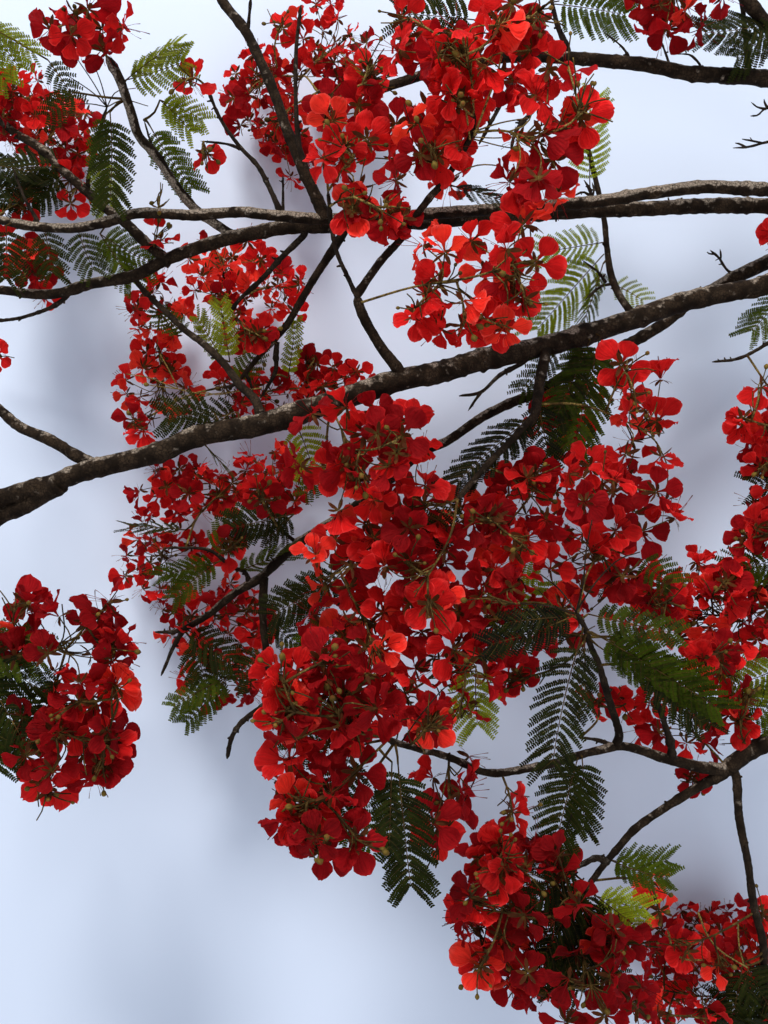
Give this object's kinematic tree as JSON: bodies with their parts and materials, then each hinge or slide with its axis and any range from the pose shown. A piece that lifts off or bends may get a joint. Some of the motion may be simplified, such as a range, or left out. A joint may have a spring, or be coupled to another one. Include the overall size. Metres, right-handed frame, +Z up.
{
  "type": "cut flame tree limb",
  "caption": "Cut limb of a flame tree in flower, lying down, with its fan of boughs and its masses of scarlet blossom and feathery leaves.",
  "frame": {"origin": "bottom centre of the whole limb's bounding box, at floor level", "axes": "+Z up from the floor; the boughs spread towards -X over the X-Y plane, and the sawn butt is at the +X side"},
  "size_m": [2.8771, 2.605, 0.9296],
  "materials": {
    "bark": "rough dark grey-brown bark with paler tan patches, ring-like nodes and small bumps",
    "blossom": "soft matte petals, deep crimson in shade to scarlet and orange-red where lit",
    "foliage": "soft satin leaflets, dark green to yellow-green"
  },
  "bodies": {
    "root": {"blossom_behind_bough": "blossom", "blossom_bottom": "blossom", "blossom_bottom_right": "blossom", "blossom_centre": "blossom", "blossom_centre_right": "blossom", "blossom_left_hanging": "blossom", "blossom_left_low": "blossom", "blossom_left_upper": "blossom", "blossom_lower_left": "blossom", "blossom_lower_right": "blossom", "blossom_mid_left": "blossom", "blossom_near_right": "blossom", "blossom_near_top": "blossom", "blossom_nearest": "blossom", "blossom_right": "blossom", "blossom_right_edge": "blossom", "blossom_small_low": "blossom", "blossom_stem": "bark", "blossom_top_left": "blossom", "blossom_top_middle": "blossom", "blossom_top_right": "blossom", "blossom_under_bough": "blossom", "corner_bough": "bark", "crossing_bough": "bark", "drooping_twig": "bark", "falling_branch": "bark", "hanging_branch": "bark", "leafy_shoot": "bark", "leaves_below": "foliage", "leaves_dark_centre": "foliage", "leaves_left": "foliage", "leaves_left_upper": "foliage", "leaves_low_front": "foliage", "leaves_lower_left": "foliage", "leaves_lower_right": "foliage", "leaves_mid_left": "foliage", "leaves_pale": "foliage", "leaves_top_left": "foliage", "leaves_under_bough": "foliage", "left_branch": "bark", "long_bough": "bark", "long_bough_end": "bark", "long_bough_lower_twin": "bark", "long_bough_upper_twin": "bark", "lower_bough": "bark", "lower_bough_foot": "bark", "lower_bough_left_fork": "bark", "lower_bough_middle_fork": "bark", "lower_bough_right_fork": "bark", "main_limb": "bark", "pale_leaf_shoot": "bark", "right_side_branch": "bark", "rising_branch": "bark", "second_bough": "bark", "slanting_branch": "bark", "top_bough": "bark", "top_left_branch": "bark", "upper_bough": "bark", "upturned_branch": "bark"}
  },
  "joints": []
}
